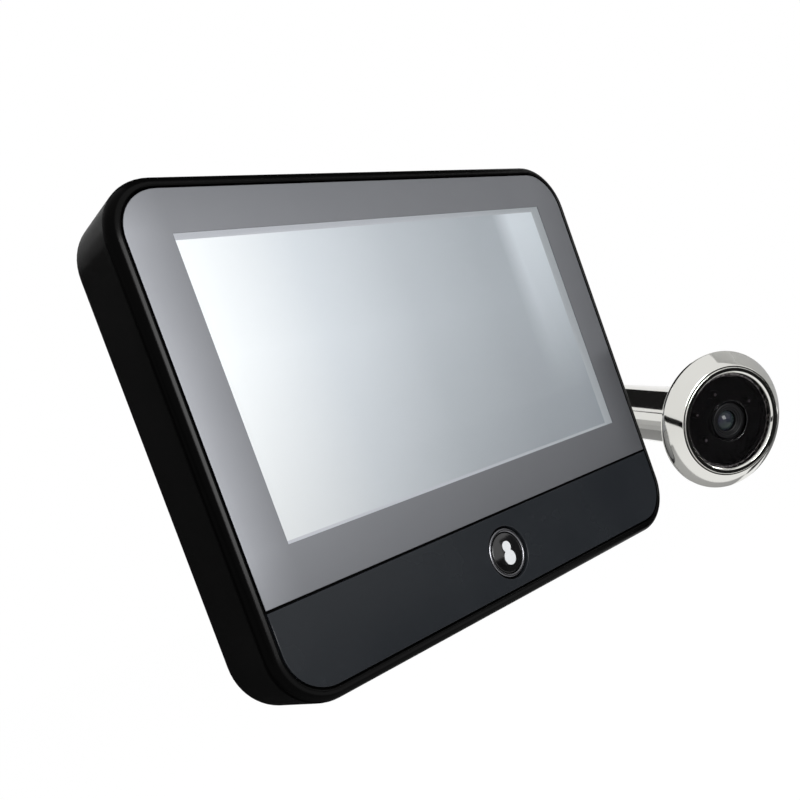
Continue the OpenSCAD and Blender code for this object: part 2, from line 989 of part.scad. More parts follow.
module ir_lamps() {
    color([0.25, 0.2, 0.28])
        on_camera()
            for (a = lamp_angles)
                rotate([0, 0, a])
                    translate([lamp_ring_r, 0, 0])
                        lamp(lamp_r, eye_back - ir_top - 0.1);
}

// Lamp on the lamp board, with a round top
module lamp(r, h) {
    translate([0, 0, ir_top]) {
        cylinder(h = h - r * 0.5, r = r);
        intersection() {
            cylinder(h = h, r = r);
            translate([0, 0, h - r * 1.25])
                sphere(r * 1.25);
        }
    }
}

module light_sensor() {
    color([0.7, 0.7, 0.62])
        on_camera()
            rotate([0, 0, sight_angle])
                translate([sight_ring_r, 0, 0])
                    lamp(sight_r, eye_back - ir_top - 0.3);
}

module sensor_board() {
    color(board_green)
        on_camera() turned(holder_r, holder_back - sensor_board_t, holder_back);
}

module image_sensor() {
    color(steel)
        on_camera()
            translate([-imager_size[0] / 2, -imager_size[1] / 2, holder_back])
                cube(imager_size);
}

// Clamp

module thrust_washer() {
    color(steel)
        on_camera() turned(head_r, head_z, head_z + washer_t, sleeve_r + run_gap);
}

// Threaded sleeve with a slotted head
module clamp_sleeve() {
    color(silver)
        on_camera()
            difference() {
                union() {
                    turned(sleeve_r, head_z - head_t / 2, head_z + sleeve_len);
                    turned(head_r, head_z - head_t, head_z);
                }
                turned(sleeve_bore_r, head_z - head_t - over, head_z + sleeve_len + over);
                translate([-head_r - over, -coin_slot_w / 2, head_z - head_t - over])
                    cube([2 * head_r + 2 * over, coin_slot_w, coin_slot_t + over]);
            }
}

bracket();
bracket_pads();
front_shell();
screen_window();
lower_fascia();
lcd_tray();
lcd_panel();
backlight();
mid_frame();
main_board();
processor_chip();
memory_chip();
shield_can();
ribbon_socket();
charge_socket();
power_base();
battery();
battery_pad();
speaker();
speaker_gasket();
microphone();
mic_boot();
switch_board();
tact_switch();
button_ring();
rear_cover();
case_screws();
board_screws();
button_cap();
button_icon();
switch_plunger();
power_knob();
camera_flange();
camera_barrel();
flange_gasket();
window_trim();
camera_window();
lens_holder();
lens_barrel();
lens_glass();
ir_board();
ir_lamps();
light_sensor();
sensor_board();
image_sensor();
thrust_washer();
clamp_sleeve();
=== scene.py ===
import json
import math

import bmesh
import bpy
from mathutils import Matrix, Quaternion, Vector

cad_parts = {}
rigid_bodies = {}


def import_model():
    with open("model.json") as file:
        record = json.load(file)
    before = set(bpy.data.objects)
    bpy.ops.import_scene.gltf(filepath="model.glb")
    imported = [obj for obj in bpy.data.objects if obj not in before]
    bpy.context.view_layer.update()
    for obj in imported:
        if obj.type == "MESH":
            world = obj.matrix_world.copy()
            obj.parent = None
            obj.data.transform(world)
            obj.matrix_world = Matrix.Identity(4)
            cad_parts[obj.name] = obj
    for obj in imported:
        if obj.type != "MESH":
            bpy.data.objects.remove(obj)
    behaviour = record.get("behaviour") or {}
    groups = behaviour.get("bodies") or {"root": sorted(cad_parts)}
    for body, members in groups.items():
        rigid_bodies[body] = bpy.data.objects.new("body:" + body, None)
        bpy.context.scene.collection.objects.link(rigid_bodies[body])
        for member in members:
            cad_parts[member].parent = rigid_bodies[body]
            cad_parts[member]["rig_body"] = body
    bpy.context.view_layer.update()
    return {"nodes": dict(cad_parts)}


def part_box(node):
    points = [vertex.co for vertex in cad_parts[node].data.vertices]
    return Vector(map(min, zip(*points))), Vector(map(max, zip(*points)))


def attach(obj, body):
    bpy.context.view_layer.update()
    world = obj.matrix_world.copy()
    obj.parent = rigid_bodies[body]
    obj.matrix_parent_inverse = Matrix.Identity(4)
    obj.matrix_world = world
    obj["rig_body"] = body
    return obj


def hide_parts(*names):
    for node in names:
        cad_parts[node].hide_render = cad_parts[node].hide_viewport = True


# Digital door viewer: a monitor on its door bracket, and the chrome camera unit that stands beside it.
# Pieces are drawn in millimetres and put in place, in metres, when they are finished.
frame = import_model()
nodes = frame["nodes"]
scene = bpy.context.scene
scene.view_settings.view_transform = "Standard"
milli = 0.001  # a millimetre in metres
metre = 1000  # a metre in millimetres
mm = Matrix.Scale(milli, 4)
upright = Matrix.Rotation(math.pi / 2, 4, "X")  # turns a flat shape to face the front
print("frame:", len(nodes), "solids")

# Where things are, as in the part's source
monitor = {
    "crestY": -18.7,  # front of the rim
    "glassY": -18.5,  # front of the glass and the fascia
    "glassBackY": -17.4,
    "panelWidth": 113.7,  # a shade under its opening, for the soft edges beside the joint
    "panelTop": 44.0,
    "panelCorner": 8.35,
    "seamZ": -28.05,
    "seamGap": 0.5,  # the joint and the soft edges beside it
    "screenZ": 8.65,
    "windowWidth": 97,
    "windowHeight": 55,
    "buttonZ": -36.45,
}
cameraUnit = {"at": (77.694, -29.5, -28.05), "turn": 27.7, "nod": 12.6}
cameraAxes = (
    Matrix.Translation(Vector(cameraUnit["at"]) * milli)
    @ Matrix.Rotation(math.radians(-cameraUnit["turn"]), 4, "Z")
    @ Matrix.Rotation(math.radians(90 + cameraUnit["nod"]), 4, "X")
    @ mm
)
buttonAxes = Matrix.Translation(Vector((0, monitor["glassY"], monitor["buttonZ"])) * milli) @ upright @ mm


# Shader tools

def addNode(tree, kind, inputs=None, **settings):
    node = tree.nodes.new(kind)
    for key, value in settings.items():
        setattr(node, key, value)
    for key, value in (inputs or {}).items():
        if isinstance(value, bpy.types.NodeSocket):
            tree.links.new(value, node.inputs[key])
        else:
            node.inputs[key].default_value = value
    return node


def feed(tree, node, sources):
    for socket, source in sources.items():
        tree.links.new(source, node.inputs[socket])


def mixColour(tree, factor, first, second, blend="MIX"):
    sockets = {0: factor, 6: first, 7: second}
    return addNode(tree, "ShaderNodeMix", sockets, data_type="RGBA", blend_type=blend).outputs[2]


def mathNode(tree, operation, first, second=0.0, third=0.0):
    return addNode(tree, "ShaderNodeMath", {0: first, 1: second, 2: third}, operation=operation).outputs[0]


def rescale(tree, value, low, high, toLow=0.0, toHigh=1.0):
    sockets = {0: value, 1: low, 2: high, 3: toLow, 4: toHigh}
    return addNode(tree, "ShaderNodeMapRange", sockets).outputs[0]


def between(tree, value, low, high):
    # 1 from low to high, and 0 elsewhere
    off = mathNode(tree, "ABSOLUTE", mathNode(tree, "SUBTRACT", value, (low + high) / 2))
    return mathNode(tree, "LESS_THAN", off, (high - low) / 2)


def colourRamp(tree, value, stops):
    ramp = addNode(tree, "ShaderNodeValToRGB", {0: value})
    marks = ramp.color_ramp.elements
    for mark, (position, colour) in zip(marks, (stops[0], stops[-1])):
        mark.position = position
        mark.color = (*colour, 1)
    for position, colour in stops[1:-1]:
        marks.new(position).color = (*colour, 1)
    return ramp.outputs[0]


def objectSpot(tree):
    return addNode(tree, "ShaderNodeTexCoord").outputs["Object"]


def spotAlong(tree, axis, start=0.0):
    # Place along one axis, 0 for x to 2 for z, in mm from start
    spot = addNode(tree, "ShaderNodeSeparateXYZ", {0: objectSpot(tree)})
    return mathNode(tree, "MULTIPLY_ADD", spot.outputs[axis], metre, -start)


def newGroup(name, inputs, outputs):
    group = bpy.data.node_groups.new(name, "ShaderNodeTree")
    for key, value in inputs.items():
        group.interface.new_socket(key, in_out="INPUT", socket_type="NodeSocketFloat").default_value = value
    for key in outputs:
        group.interface.new_socket(key, in_out="OUTPUT", socket_type="NodeSocketFloat")
    return group, group.nodes.new("NodeGroupInput"), group.nodes.new("NodeGroupOutput")


def roughAround(group, given, value):
    # Roughness that spreads to both sides of its middle as value goes from 0 to 1
    middle = mathNode(group, "SUBTRACT", value, 0.5)
    return mathNode(group, "MULTIPLY_ADD", middle, given.outputs["Spread"], given.outputs["Roughness"])


def makeMouldedSkin():
    # Spark-eroded grain of a mould, with broad patches where the gloss drifts
    grain = {"Detail": 3.0, "Roughness": 0.6}
    patches = {"Scale": 45.0, "Detail": 4.0}
    patchEnds = (0.35, 0.65)
    inputs = {"Grain": 4000.0, "Roughness": 0.4, "Spread": 0.1}
    group, given, made = newGroup("mouldedSkin", inputs, ["Height", "Roughness", "Drift"])
    spot = objectSpot(group)
    fine = addNode(group, "ShaderNodeTexNoise", {"Vector": spot, "Scale": given.outputs["Grain"], **grain})
    broad = addNode(group, "ShaderNodeTexNoise", {"Vector": spot, **patches})
    drift = rescale(group, broad.outputs[0], *patchEnds)
    rough = roughAround(group, given, drift)
    feed(group, made, {"Height": fine.outputs[0], "Roughness": rough, "Drift": drift})
    return group


def makeBrushedLines():
    # Long fine scratches across a rolled or turned metal
    inputs = {"Along": 60.0, "Across": 5000.0, "Roughness": 0.3, "Spread": 0.2}
    group, given, made = newGroup("brushedLines", inputs, ["Height", "Roughness"])
    along, across = given.outputs["Along"], given.outputs["Across"]
    stretch = addNode(group, "ShaderNodeCombineXYZ", {0: along, 1: across, 2: across}).outputs[0]
    drawn = addNode(group, "ShaderNodeVectorMath", {0: objectSpot(group), 1: stretch}, operation="MULTIPLY")
    lines = addNode(group, "ShaderNodeTexNoise", {"Vector": drawn.outputs[0], "Scale": 1.0, "Detail": 2.0})
    rough = roughAround(group, given, lines.outputs[0])
    feed(group, made, {"Height": lines.outputs[0], "Roughness": rough})
    return group


mouldedSkin = makeMouldedSkin()
brushedLines = makeBrushedLines()


def bareMaterial(name):
    material = bpy.data.materials.new(name)
    material.use_nodes = True
    material.node_tree.nodes.clear()
    return material, material.node_tree


def newMaterial(name):
    material, tree = bareMaterial(name)
    shader = addNode(tree, "ShaderNodeBsdfPrincipled")
    addNode(tree, "ShaderNodeOutputMaterial", {"Surface": shader.outputs[0]})
    return material, tree, shader


def placeGroup(tree, group, look):
    # Each input takes the value of its own name in look
    node = addNode(tree, "ShaderNodeGroup", node_tree=group)
    for socket in node.inputs:
        socket.default_value = look[socket.name.lower()]
    return node


def driftColour(tree, skin, look):
    return mixColour(tree, skin.outputs["Drift"], (*look["base"], 1), (*look["drift"], 1))


def bumpFrom(tree, height, look):
    sockets = {"Height": height, "Strength": look["bump"], "Distance": look["deep"]}
    return addNode(tree, "ShaderNodeBump", sockets).outputs[0]


def setShader(shader, look):
    shader.inputs["Metallic"].default_value = look.get("metal", 0.0)
    shader.inputs["Specular IOR Level"].default_value = look.get("gloss", 0.5)
    shader.inputs["Coat Weight"].default_value = look.get("coat", 0.0)
    shader.inputs["Coat Roughness"].default_value = look.get("coatRough", 0.03)


def dressShader(tree, shader, look, colour, surface):
    # Colour, gloss and fine relief, which most finishes share
    feed(tree, shader, {
        "Base Color": colour,
        "Roughness": surface.outputs["Roughness"],
        "Normal": bumpFrom(tree, surface.outputs["Height"], look),
    })
    setShader(shader, look)


def skinMaterial(name, look):
    # Moulded, painted, cast or foamed finishes
    material, tree, shader = newMaterial(name)
    skin = placeGroup(tree, mouldedSkin, look)
    dressShader(tree, shader, look, driftColour(tree, skin, look), skin)
    return material


def metalMaterial(name, look):
    # Rolled, stamped or turned metal with drawn lines, its tone drifting in patches
    patches = {"roughness": 0.5, "spread": 0.1, "grain": 900.0}
    material, tree, shader = newMaterial(name)
    lines = placeGroup(tree, brushedLines, look)
    skin = placeGroup(tree, mouldedSkin, patches)
    dressShader(tree, shader, look, driftColour(tree, skin, look), lines)
    return material


def glassMaterial(name, look):
    material, tree, shader = newMaterial(name)
    skin = placeGroup(tree, mouldedSkin, look)
    shader.inputs["Base Color"].default_value = look["tint"]
    shader.inputs["Transmission Weight"].default_value = 1.0
    shader.inputs["IOR"].default_value = look["ior"]
    feed(tree, shader, {"Roughness": skin.outputs["Roughness"]})
    return material


# Finishes; grain, along and across are cells in a metre, and deep is the relief in metres
skinLooks = {
    "rear_plastic": {
        "base": (0.016, 0.016, 0.017), "drift": (0.02, 0.02, 0.021), "gloss": 0.3,
        "roughness": 0.42, "spread": 0.12, "grain": 2400.0, "bump": 0.3, "deep": 0.00004,
    },
    "fascia": {
        "base": (0.008, 0.0092, 0.011), "drift": (0.0095, 0.0108, 0.0126), "gloss": 0.2,
        "roughness": 0.26, "spread": 0.05, "grain": 5200.0, "bump": 0.03, "deep": 0.00001,
    },
    "gloss_black": {
        "base": (0.002, 0.002, 0.0022), "drift": (0.003, 0.003, 0.0033), "gloss": 0.7,
        "roughness": 0.1, "spread": 0.03, "grain": 3000.0, "bump": 0.02, "deep": 0.00001,
    },
    "pale_inlay": {
        "base": (0.41, 0.42, 0.43), "drift": (0.37, 0.38, 0.39),
        "roughness": 0.45, "spread": 0.1, "grain": 6000.0, "bump": 0.05, "deep": 0.00001,
    },
    "diffuser": {
        "base": (0.86, 0.86, 0.84), "drift": (0.8, 0.8, 0.78),
        "roughness": 0.6, "spread": 0.1, "grain": 3000.0, "bump": 0.1, "deep": 0.00002,
    },
    "inner_plastic": {
        "base": (0.03, 0.03, 0.033), "drift": (0.04, 0.04, 0.044), "gloss": 0.35,
        "roughness": 0.5, "spread": 0.12, "grain": 3600.0, "bump": 0.2, "deep": 0.00003,
    },
    "chip": {
        "base": (0.02, 0.02, 0.022), "drift": (0.03, 0.03, 0.032),
        "roughness": 0.55, "spread": 0.1, "grain": 6000.0, "bump": 0.2, "deep": 0.00002,
    },
    "bracket_steel": {
        "base": (0.02, 0.02, 0.022), "drift": (0.028, 0.028, 0.03), "gloss": 0.4,
        "roughness": 0.5, "spread": 0.12, "grain": 2600.0, "bump": 0.35, "deep": 0.00004,
    },
    "foam": {
        "base": (0.03, 0.03, 0.031), "drift": (0.045, 0.045, 0.046), "gloss": 0.2,
        "roughness": 0.9, "spread": 0.1, "grain": 1600.0, "bump": 0.7, "deep": 0.00015,
    },
    "cell_wrap": {
        "base": (0.55, 0.56, 0.58), "drift": (0.48, 0.49, 0.51), "metal": 0.6,
        "roughness": 0.35, "spread": 0.15, "grain": 350.0, "bump": 0.25, "deep": 0.0001,
    },
    "lens_black": {
        "base": (0.003, 0.003, 0.0033), "drift": (0.005, 0.005, 0.0055), "gloss": 0.12,
        "roughness": 0.36, "spread": 0.06, "grain": 4000.0, "bump": 0.08, "deep": 0.00001,
    },
    "lamp": {
        "base": (0.62, 0.6, 0.62), "drift": (0.5, 0.47, 0.52), "coat": 0.6,
        "roughness": 0.12, "spread": 0.05, "grain": 3000.0, "bump": 0.02, "deep": 0.00001,
    },
    "cream_plastic": {
        "base": (0.72, 0.69, 0.59), "drift": (0.66, 0.63, 0.53),
        "roughness": 0.5, "spread": 0.1, "grain": 5000.0, "bump": 0.1, "deep": 0.00002,
    },
}
metalLooks = {
    "dark_chrome": {
        "base": (0.17, 0.17, 0.18), "drift": (0.15, 0.15, 0.16), "metal": 1.0,
        "roughness": 0.26, "spread": 0.08, "along": 60.0, "across": 900.0, "bump": 0.02, "deep": 0.00001,
    },
    "steel": {
        "base": (0.52, 0.53, 0.55), "drift": (0.46, 0.47, 0.49), "metal": 1.0,
        "roughness": 0.32, "spread": 0.2, "along": 90.0, "across": 4200.0, "bump": 0.1, "deep": 0.00001,
    },
    "chrome": {
        "base": (0.71, 0.705, 0.67), "drift": (0.68, 0.675, 0.64), "metal": 1.0,
        "roughness": 0.07, "spread": 0.03, "along": 60.0, "across": 900.0, "bump": 0.012, "deep": 0.00001,
    },
}
clearLook = {
    "tint": (0.97, 0.98, 0.98, 1), "ior": 1.13,
    "roughness": 0.012, "spread": 0.012, "grain": 600.0,
}
eyeLook = {
    "tint": (0.2, 0.19, 0.2, 1), "ior": 1.3,  # dark filter in front of the lamps
    "roughness": 0.02, "spread": 0.015, "grain": 600.0,
}


def makeHousing():
    # Satin case, polished along its crest, whose front frame is given a darker colour than its wall as
    # painted shade; depths are mm behind the crest
    look = {
        "frame": (0.001, 0.001, 0.001), "base": (0.003, 0.003, 0.003), "drift": (0.004, 0.004, 0.004),
        "roughness": 0.22, "spread": 0.06, "grain": 5200.0, "bump": 0.08, "deep": 0.00002, "gloss": 0.012,
        "crestFades": (0.34, 0.22), "crestSheen": 0.12, "wallStarts": (2.2, 2.5), "wallSheen": 0.17,
        "coatRough": 0.22,
    }
    material, tree, shader = newMaterial("housing")
    skin = placeGroup(tree, mouldedSkin, look)
    depth = spotAlong(tree, 1, monitor["crestY"])
    crest = rescale(tree, depth, *look["crestFades"], 0.0, look["crestSheen"])
    wall = rescale(tree, depth, *look["wallStarts"])
    # Painted shade: the frame in front of the wall is coloured darker than the wall
    colour = mixColour(tree, wall, (*look["frame"], 1), driftColour(tree, skin, look))
    dressShader(tree, shader, look, colour, skin)
    feed(tree, shader, {"Coat Weight": mathNode(tree, "MULTIPLY_ADD", wall, look["wallSheen"], crest)})
    return material


def makeSmokedBorder():
    # Smoked print with a metallic sheen
    look = {
        "base": (0.17, 0.175, 0.187), "drift": (0.162, 0.167, 0.179), "metal": 0.9, "gloss": 0.3,
        "roughness": 0.54, "spread": 0.03, "grain": 9000.0,
    }
    material, tree, shader = newMaterial("smokedBorder")
    skin = placeGroup(tree, mouldedSkin, look)
    colour = driftColour(tree, skin, look)
    feed(tree, shader, {"Base Color": colour, "Roughness": skin.outputs["Roughness"]})
    setShader(shader, look)
    return material


def makePaintedScreenGlow():
    # Screen that glows though it is no lamp: a pale sweep across the picture area is a painted reflection,
    # darkened by painted shade towards its foot and lit by a painted highlight streak near its right; the
    # cell's plain edge round it also glows with painted light
    look = {
        "left": -47.7, "right": 47.2, "low": -26.95, "high": 26.8,  # the picture area
        "paintedSweepEnds": (-48.0, 48.0), "paintedShadeEnds": (6.0, -26.0), "paintedShade": 0.27,  # darker towards its foot
        "streakAcross": (32.5, 38.0), "streakUp": (-16.0, 24.0), "paintedStreak": (0.25, 0.265, 0.275, 1),
        "base": (0.02, 0.02, 0.022, 1), "glow": 1.0, "gloss": 0.2,
        "roughness": 0.35, "spread": 0.05, "grain": 9000.0,
    }
    paintedSweep = [
        (0.02, (0.96, 0.985, 1.0)), (0.25, (0.66, 0.70, 0.74)), (0.5, (0.45, 0.485, 0.52)),
        (0.75, (0.34, 0.37, 0.40)), (1.0, (0.29, 0.32, 0.35)),
    ]
    plain = [(0.0, (0.50, 0.51, 0.55)), (0.5, (0.42, 0.435, 0.47)), (1.0, (0.33, 0.35, 0.37))]
    material, tree, shader = newMaterial("paintedScreenGlow")
    across = spotAlong(tree, 0)
    up = spotAlong(tree, 2, monitor["screenZ"])
    along = rescale(tree, across, *look["paintedSweepEnds"])
    # Painted shade: the glow is darker towards the screen's foot
    paintedShade = rescale(tree, up, *look["paintedShadeEnds"], 0.0, look["paintedShade"])
    shaded = mixColour(tree, paintedShade, colourRamp(tree, along, paintedSweep), (0.0, 0.0, 0.0, 1))
    # Painted highlight: a paler streak near the right edge, growing upward
    streakX = rescale(tree, across, *look["streakAcross"])
    streakZ = rescale(tree, up, *look["streakUp"])
    paintedLight = mixColour(tree, mathNode(tree, "MULTIPLY", streakX, streakZ), shaded, look["paintedStreak"], "ADD")
    insideX = between(tree, across, look["left"], look["right"])
    insideZ = between(tree, up, look["low"], look["high"])
    inside = mathNode(tree, "MULTIPLY", insideX, insideZ)
    colour = mixColour(tree, inside, colourRamp(tree, along, plain), paintedLight)
    skin = placeGroup(tree, mouldedSkin, look)
    # The screen glows with all this painted light as its emission
    feed(tree, shader, {"Emission Color": colour, "Roughness": skin.outputs["Roughness"]})
    shader.inputs["Emission Strength"].default_value = look["glow"]
    shader.inputs["Base Color"].default_value = look["base"]
    setShader(shader, look)
    return material


def makeCoatedLens():
    # Dark lens with a faint violet and green bloom of its coating
    look = {
        "violet": (0.012, 0.012, 0.02, 1), "green": (0.012, 0.018, 0.016, 1), "bloomEnds": (0.35, 0.65),
        "roughness": 0.05, "spread": 0.02, "grain": 900.0, "gloss": 0.17, "coat": 0.03,
    }
    bloom = {"Scale": 260.0, "Detail": 1.0}
    material, tree, shader = newMaterial("coatedLens")
    patches = addNode(tree, "ShaderNodeTexNoise", {"Vector": objectSpot(tree), **bloom})
    tone = rescale(tree, patches.outputs[0], *look["bloomEnds"])
    colour = mixColour(tree, tone, look["violet"], look["green"])
    skin = placeGroup(tree, mouldedSkin, look)
    feed(tree, shader, {"Base Color": colour, "Roughness": skin.outputs["Roughness"]})
    setShader(shader, look)
    return material


def makeCircuitBoard(name, mask, overCopper, pad=0):
    # Solder mask over copper tracks, with tinned pads where a pad's reach is given
    look = {
        "cells": 420.0, "trackEnds": (0.42, 0.46), "padEdge": 0.02, "tin": (0.62, 0.61, 0.58, 1),
        "roughness": 0.38, "spread": 0.1, "grain": 3000.0, "bump": 0.3, "deep": 0.00003, "gloss": 0.15,
    }
    material, tree, shader = newMaterial(name)
    tracks = addNode(
        tree, "ShaderNodeTexVoronoi", {"Vector": objectSpot(tree), "Scale": look["cells"]},
        distance="CHEBYCHEV", feature="F1",
    )
    copper = rescale(tree, tracks.outputs["Distance"], *look["trackEnds"])
    colour = mixColour(tree, copper, mask, overCopper)
    if pad:
        pads = rescale(tree, tracks.outputs["Distance"], pad + look["padEdge"], pad)
        colour = mixColour(tree, pads, colour, look["tin"])
        feed(tree, shader, {"Metallic": pads})
    skin = placeGroup(tree, mouldedSkin, look)
    feed(tree, shader, {
        "Base Color": colour,
        "Roughness": skin.outputs["Roughness"],
        "Normal": bumpFrom(tree, copper, look),
    })
    setShader(shader, look)
    return material


finish = {slot: skinMaterial(slot, look) for slot, look in skinLooks.items()}
finish.update({slot: metalMaterial(slot, look) for slot, look in metalLooks.items()})
finish["housing"] = makeHousing()
finish["smoked_glass"] = makeSmokedBorder()
finish["clear"] = glassMaterial("clearGlass", clearLook)
finish["screen_cell"] = makePaintedScreenGlow()
finish["eye"] = glassMaterial("smokedEye", eyeLook)
finish["lens"] = makeCoatedLens()
finish["circuit_board"] = makeCircuitBoard(
    "greenBoard", mask=(0.012, 0.085, 0.045, 1), overCopper=(0.03, 0.16, 0.085, 1), pad=0.05
)
finish["black_board"] = makeCircuitBoard(
    "blackBoard", mask=(0.002, 0.002, 0.0023, 1), overCopper=(0.004, 0.004, 0.0045, 1)
)
print("finishes:", len(finish))


# Mesh tools

def softenCorners(bm, corners, width, steps):
    bmesh.ops.bevel(
        bm, geom=corners, offset=width, affect="VERTICES", segments=steps, profile=0.5, material=-1
    )


def softenEdges(bm, edges, width, steps=3, clamp=False):
    bmesh.ops.bevel(
        bm, geom=edges, offset=width, affect="EDGES", segments=steps, profile=0.5, material=-1,
        offset_type="OFFSET", clamp_overlap=clamp,
    )


def spunProfile(points, closed=True, steps=96, arcSteps=7):
    # points are (radius, height, round); a round of 0 leaves the corner sharp
    bm = bmesh.new()
    corners = [bm.verts.new((radius, 0, height)) for radius, height, rounding in points]
    line = corners + corners[:1] if closed else corners
    for pair in zip(line, line[1:]):
        bm.edges.new(pair)
    for corner, (radius, height, rounding) in zip(corners, points):
        if rounding:
            softenCorners(bm, [corner], rounding, arcSteps)
    bmesh.ops.spin(
        bm, geom=list(bm.verts) + list(bm.edges), cent=(0, 0, 0), axis=(0, 0, 1), angle=2 * math.pi,
        steps=steps, use_merge=True,
    )
    return bm


def flatOutline(bm, width, low, high, y, corner, end, arcSteps=12):
    # Upright rectangle that faces the front, with the two corners of its low or high end rounded
    middle = (low + high) / 2
    lay = Matrix.Translation((0, y, middle)) @ upright @ Matrix.Diagonal((width, high - low, 1, 1))
    made = bmesh.ops.create_grid(bm, x_segments=1, y_segments=1, size=0.5, matrix=lay)["verts"]
    rounded = [v for v in made if (v.co.z > middle) == (end == "high")]
    softenCorners(bm, rounded, corner, arcSteps)


def deepen(bm, depth):
    # Gives flat faces their thickness, into the monitor
    made = bmesh.ops.extrude_face_region(bm, geom=list(bm.faces))
    back = [part for part in made["geom"] if isinstance(part, bmesh.types.BMVert)]
    bmesh.ops.translate(bm, vec=(0, depth, 0), verts=back)


def edgesAt(bm, y, near=1e-4, sharp=1.0):
    # Edges in the plane y where two faces turn by more than sharp, in radians
    level = [e for e in bm.edges if all(abs(v.co.y - y) < near for v in e.verts)]
    return [e for e in level if len(e.link_faces) == 2 and e.calc_face_angle(0) > sharp]


def slicePlane(bm, spot, normal, near=1e-5, clear=False):
    # Cuts a mesh along a plane; clear takes away what is behind it and closes the cut
    whole = list(bm.verts) + list(bm.edges) + list(bm.faces)
    bmesh.ops.bisect_plane(bm, geom=whole, dist=near, plane_co=spot, plane_no=normal, clear_inner=clear)
    if clear:
        bmesh.ops.holes_fill(bm, edges=[e for e in bm.edges if e.is_boundary], sides=0)


def mergedSolid(node):
    bm = bmesh.new()
    bm.from_mesh(nodes[node].data)
    bmesh.ops.remove_doubles(bm, verts=bm.verts, dist=2e-6)  # in metres
    return bm


def joinFlats(bm):
    bmesh.ops.dissolve_limit(bm, angle_limit=math.radians(0.5), verts=bm.verts, edges=bm.edges)


def meshFrom(bm, name):
    mesh = bpy.data.meshes.new(name)
    bm.to_mesh(mesh)
    bm.free()
    return mesh


def addTo(whole, part, place):
    # Puts a finished shape into a larger mesh
    bmesh.ops.transform(part, matrix=place, verts=part.verts)
    loose = meshFrom(part, "loose")
    whole.from_mesh(loose)
    bpy.data.meshes.remove(loose)


def finishPiece(bm, name, body, slot, replaced=(), place=mm, look=None, sharp=38):
    bmesh.ops.remove_doubles(bm, verts=bm.verts, dist=0.0005)  # in mm
    bmesh.ops.recalc_face_normals(bm, faces=bm.faces)
    bmesh.ops.transform(bm, matrix=place, verts=bm.verts)
    return dressMesh(meshFrom(bm, name), name, body, slot, replaced, look, sharp)


def dressMesh(mesh, name, body, slot, replaced, look, sharp):
    mesh.shade_smooth()
    mesh.set_sharp_from_angle(angle=math.radians(sharp))
    mesh.materials.clear()
    mesh.materials.append(finish[look or slot])
    piece = bpy.data.objects.new(name, mesh)
    scene.collection.objects.link(piece)
    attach(piece, body)
    if replaced:
        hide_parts(*replaced)
    return piece


def roundOff(piece, width, steps, angle):
    soft = piece.modifiers.new("softEdges", "BEVEL")
    soft.width = width * milli
    soft.segments = steps
    soft.limit_method = "ANGLE"
    soft.angle_limit = math.radians(angle)
    soft.use_clamp_overlap = True


def evenNormals(piece):
    piece.modifiers.new("evenNormals", "WEIGHTED_NORMAL").keep_sharp = True


def solidCopy(node, name, slot, edge, keep=None, look=None, lip=0):
    # Copy of a solid with its corners softened, as moulding and tumbling leave them
    bm = mergedSolid(node)
    if keep:
        slicePlane(bm, *keep, near=1e-7, clear=True)
    joinFlats(bm)
    if lip:
        softenEdges(bm, edgesAt(bm, monitor["crestY"] * milli), lip * milli, steps=5, clamp=True)
    piece = dressMesh(meshFrom(bm, name), name, nodes[node]["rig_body"], slot, (node,), look, sharp=30)
    roundOff(piece, edge, steps=3, angle=40)
    evenNormals(piece)


# Monitor: housing and back

solidCopy("front_shell", "housing", "housing", edge=0.1, lip=0.45)
solidCopy("rear_cover", "rearCover", "housing", edge=0.15, look="rear_plastic")
solidCopy("case_screws", "caseScrews", "steel", edge=0.06)
solidCopy("bracket", "doorBracket", "bracket_steel", edge=0.2)
solidCopy("charge_socket", "chargeSocket", "steel", edge=0.05)


def makeKnob():
    knob = {"ridges": 4, "deep": 0.3, "edge": 0.05}
    low, high = (Vector(corner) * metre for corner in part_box("power_knob"))
    bm = bmesh.new()
    block = Matrix.Translation((low + high) / 2) @ Matrix.Diagonal((*(high - low), 1))
    bmesh.ops.create_cube(bm, size=1.0, matrix=block)
    strips = 2 * knob["ridges"] - 1
    for cut in range(1, strips):
        slicePlane(bm, (0, 0, low.z + (high.z - low.z) * cut / strips), (0, 0, 1))
    tops = sorted((f for f in bm.faces if f.normal.x > 0.9), key=lambda f: f.calc_center_median().z)
    for valley in tops[1::2]:
        made = bmesh.ops.extrude_discrete_faces(bm, faces=[valley])["faces"]
        bmesh.ops.translate(bm, vec=(-knob["deep"], 0, 0), verts=list({v for f in made for v in f.verts}))
    piece = finishPiece(bm, "powerKnob", "power_slider", "inner_plastic", ("power_knob",), sharp=30)
    roundOff(piece, knob["edge"], steps=2, angle=30)
    evenNormals(piece)


makeKnob()
print("housing, back and bracket done")


# Monitor: smoked border over the clear glass, and the fascia

def makeBorder():
    border = {"layer": 0.16, "edge": 0.12}
    halfX, halfZ = monitor["windowWidth"] / 2, monitor["windowHeight"] / 2
    middleZ = monitor["screenZ"]

    def inWindow(spot, margin=0):
        return abs(spot.x) < halfX + margin and abs(spot.z - middleZ) < halfZ + margin

    bm = bmesh.new()
    flatOutline(
        bm, monitor["panelWidth"], monitor["seamZ"] + monitor["seamGap"] / 2, monitor["panelTop"],
        monitor["glassY"], monitor["panelCorner"], "high",
    )
    for x in (-halfX, halfX):
        slicePlane(bm, (x, 0, 0), (1, 0, 0))
    for z in (middleZ - halfZ, middleZ + halfZ):
        slicePlane(bm, (0, 0, z), (0, 0, 1))
    window = [f for f in bm.faces if inWindow(f.calc_center_median())]
    bmesh.ops.delete(bm, geom=window, context="FACES")
    deepen(bm, border["layer"])
    rim = [e for e in edgesAt(bm, monitor["glassY"]) if not all(inWindow(v.co, margin=1) for v in e.verts)]
    softenEdges(bm, rim, border["edge"])
    finishPiece(bm, "smokedBorder", "monitor", "smoked_glass", ("screen_window",))


